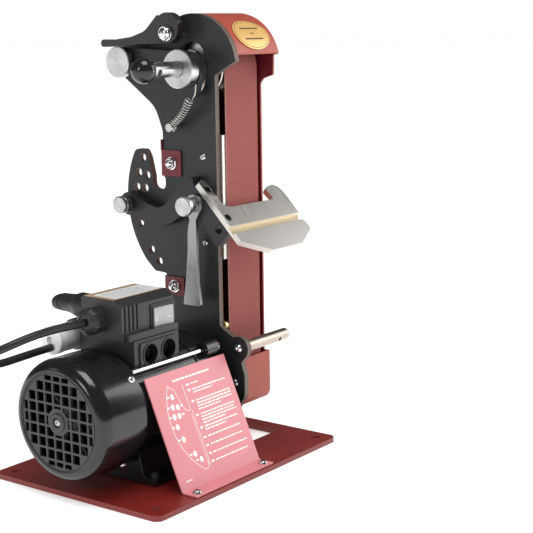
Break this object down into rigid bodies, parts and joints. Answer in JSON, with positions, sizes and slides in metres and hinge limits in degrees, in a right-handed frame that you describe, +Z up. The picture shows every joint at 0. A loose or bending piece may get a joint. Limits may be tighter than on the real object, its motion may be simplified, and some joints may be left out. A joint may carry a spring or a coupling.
{
  "type": "belt grinder",
  "caption": "Vertical belt grinder on a flat base, with motor, tilting slotted tool rest, locking handle, index plunger, lift lever, covers and mains cord.",
  "frame": {"origin": "centre of the base plate's underside", "axes": "+X along the motor shaft from the motor to the belt, +Y towards the back, +Z up"},
  "size_m": [0.4363, 0.3293, 0.4365],
  "materials": {
    "plate_black": "fine satin black powder coat",
    "cover_red": "satin rust-red powder coat",
    "base_red": "satin dark red powder coat",
    "info_red": "satin red sheet with plain white diagram marks",
    "belt_grit": "cloth-backed abrasive, matt and gritty",
    "brushed": "turned or brushed aluminium",
    "steel": "bright machined steel",
    "chrome": "bright plating",
    "cast": "satin casting",
    "gold": "satin gold foil",
    "gloss_black": "gloss black enamel",
    "box_grey": "fine textured dark grey plastic",
    "switch_grey": "light grey plastic",
    "white": "white plastic can",
    "cord_black": "black cord sheath",
    "copper": "copper windings in varnish"
  },
  "bodies": {
    "frame": {"base_plate": "base_red", "side_plate": "plate_black", "foot_bracket": "plate_black", "back_cover": "cover_red", "lower_cover": "cover_red", "badge": "gold", "platen": "brushed", "platen_bracket": "plate_black", "tool_post": "brushed", "tool_post_screw": "steel", "info_plate": "info_red", "spring_anchor": "steel", "belt": "belt_grit", "lever_bolt": "chrome", "tension_spring": "steel", "motor_housing": "gloss_black", "stator": "copper", "bearing_front": "steel", "bearing_rear": "steel", "end_shield_front": "gloss_black", "end_shield_rear": "gloss_black", "fan_cover": "gloss_black", "motor_foot": "gloss_black", "tie_rod": "chrome", "terminal_box": "box_grey", "control_box": "box_grey", "cable_gland": "box_grey", "motor_lead": "cord_black", "capacitor": "white", "mains_connector": "cord_black", "mains_cord": "cord_black", "mains_cord_coil": "cord_black", "mains_plug": "cord_black", "cover_nut_upper": "chrome", "cover_nut_lower": "chrome", "info_plate_screw_1": "steel", "info_plate_screw_2": "steel", "lower_cover_screw": "steel"},
    "drive": {"rotor_shaft": "steel", "cooling_fan": "box_grey", "drive_wheel": "cast"},
    "tension": {"tension_arm": "plate_black", "spacer_ring": "brushed"},
    "axle": {"top_axle": "steel", "ball_knob": "gloss_black", "shaft_collar": "brushed"},
    "wheel": {"top_wheel": "brushed", "top_wheel_bearing_left": "steel", "top_wheel_bearing_right": "steel"},
    "tracking": {"tracking_knob": "brushed"},
    "lever": {"lift_lever": "gloss_black"},
    "rest": {"tool_rest_arm": "plate_black", "tool_rest": "brushed", "tool_rest_screw_1": "gloss_black", "tool_rest_screw_2": "gloss_black", "plunger_body": "gloss_black"},
    "plunger": {"index_plunger": "brushed"},
    "clamp": {"locking_handle": "cast"},
    "pivot": {"pivot_knob": "brushed"},
    "rocker": {"rocker_switch": "switch_grey"}
  },
  "joints": [
    {"name": "motor_spin", "type": "hinge", "parent": "frame", "child": "drive", "pos_m": [0, 0.0032, 0.0755], "axis": [1, 0, 0], "continuous": true},
    {"name": "tension_swing", "type": "hinge", "parent": "frame", "child": "tension", "pos_m": [0.037, 0.077, 0.389], "axis": [1, 0, 0], "range_deg": [0, 4], "deforming": ["tension_spring"]},
    {"name": "axle_turn", "type": "hinge", "parent": "tension", "child": "axle", "pos_m": [0, -0.001, 0.3835], "axis": [1, 0, 0], "range_deg": [-15, 15]},
    {"name": "top_wheel_spin", "type": "hinge", "parent": "tension", "child": "wheel", "pos_m": [0.083, -0.001, 0.3835], "axis": [1, 0, 0], "continuous": true},
    {"name": "tracking_turn", "type": "hinge", "parent": "frame", "child": "tracking", "pos_m": [0.027, 0.077, 0.389], "axis": [1, 0, 0], "range_deg": [-180, 180]},
    {"name": "lever_swing", "type": "hinge", "parent": "frame", "child": "lever", "pos_m": [0.032, 0.016, 0.417], "axis": [1, 0, 0], "range_deg": [0, 90]},
    {"name": "rest_swing", "type": "hinge", "parent": "frame", "child": "rest", "pos_m": [0.041, -0.01, 0.253], "axis": [1, 0, 0], "range_deg": [-43.2, 10.4]},
    {"name": "plunger_slide", "type": "slide", "parent": "rest", "child": "plunger", "axis": [1, 0, 0], "range_m": [0, 0.003]},
    {"name": "clamp_swing", "type": "hinge", "parent": "frame", "child": "clamp", "pos_m": [0.03, -0.01, 0.253], "axis": [1, 0, 0], "range_deg": [-45, 25]},
    {"name": "pivot_turn", "type": "hinge", "parent": "frame", "child": "pivot", "pos_m": [0.017, -0.01, 0.253], "axis": [1, 0, 0], "range_deg": [-180, 180]},
    {"name": "rocker_tilt", "type": "hinge", "parent": "frame", "child": "rocker", "pos_m": [-0.0356, -0.025, 0.156], "axis": [0, 0, 1], "range_deg": [0, 12.5]}
  ],
  "couplings": [
    {"joint": "top_wheel_spin", "follows": "motor_spin", "ratio": 1.147},
    {"joint": "tension_swing", "follows": "lever_swing", "ratio": 0.0444}
  ]
}
